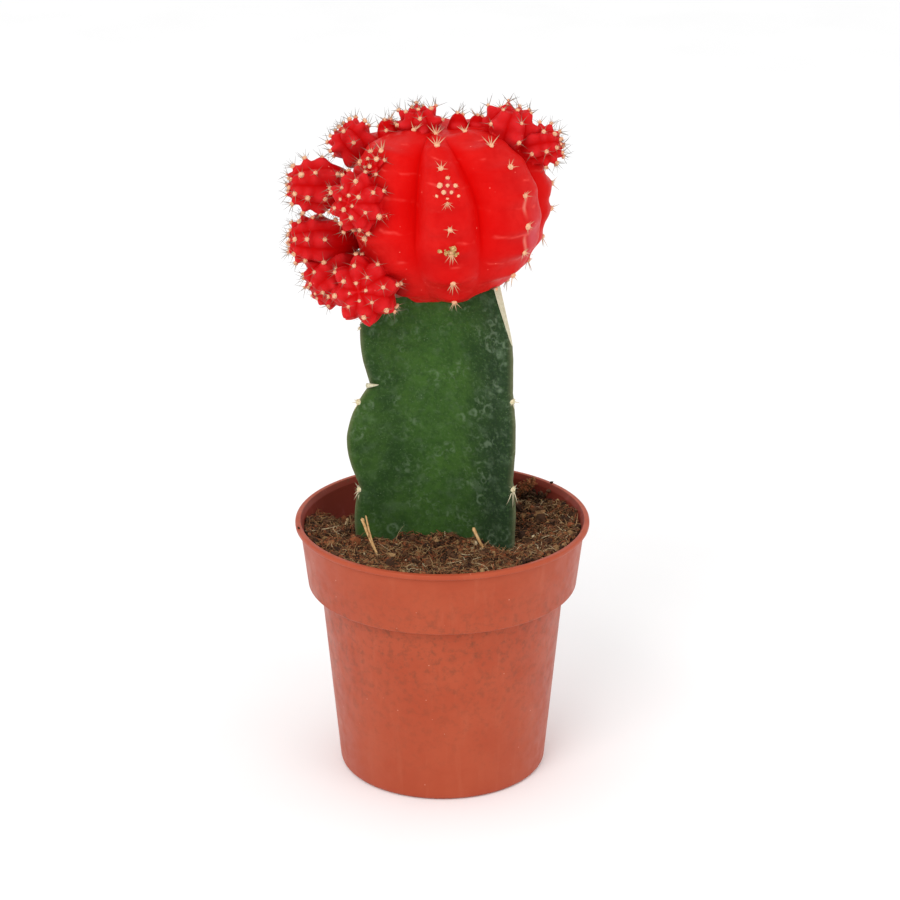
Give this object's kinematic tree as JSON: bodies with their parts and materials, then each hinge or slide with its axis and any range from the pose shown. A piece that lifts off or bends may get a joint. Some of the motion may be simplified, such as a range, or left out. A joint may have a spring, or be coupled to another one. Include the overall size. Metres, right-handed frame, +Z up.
{
  "type": "potted moon cactus",
  "caption": "Grafted moon cactus: a spiny red ribbed globe with offsets on a winged green stem, in soil in a small round plastic nursery pot.",
  "frame": {"origin": "centre of the pot's base, on the plane that the pot stands on", "axes": "+Z up along the pot's axis, -Y towards the side that the picture shows, +X to that side's right"},
  "size_m": [0.0575, 0.0572, 0.1286],
  "materials": {
    "pot_plastic": "satin terracotta-coloured plastic",
    "potting_soil": "loose fibrous peat",
    "green_stem": "waxy plant skin",
    "red_flesh": "waxy plant skin with pale spines"
  },
  "bodies": {
    "root": {"pot": "pot_plastic", "soil": "potting_soil", "rootstock": "green_stem", "scion": "red_flesh"}
  },
  "joints": []
}
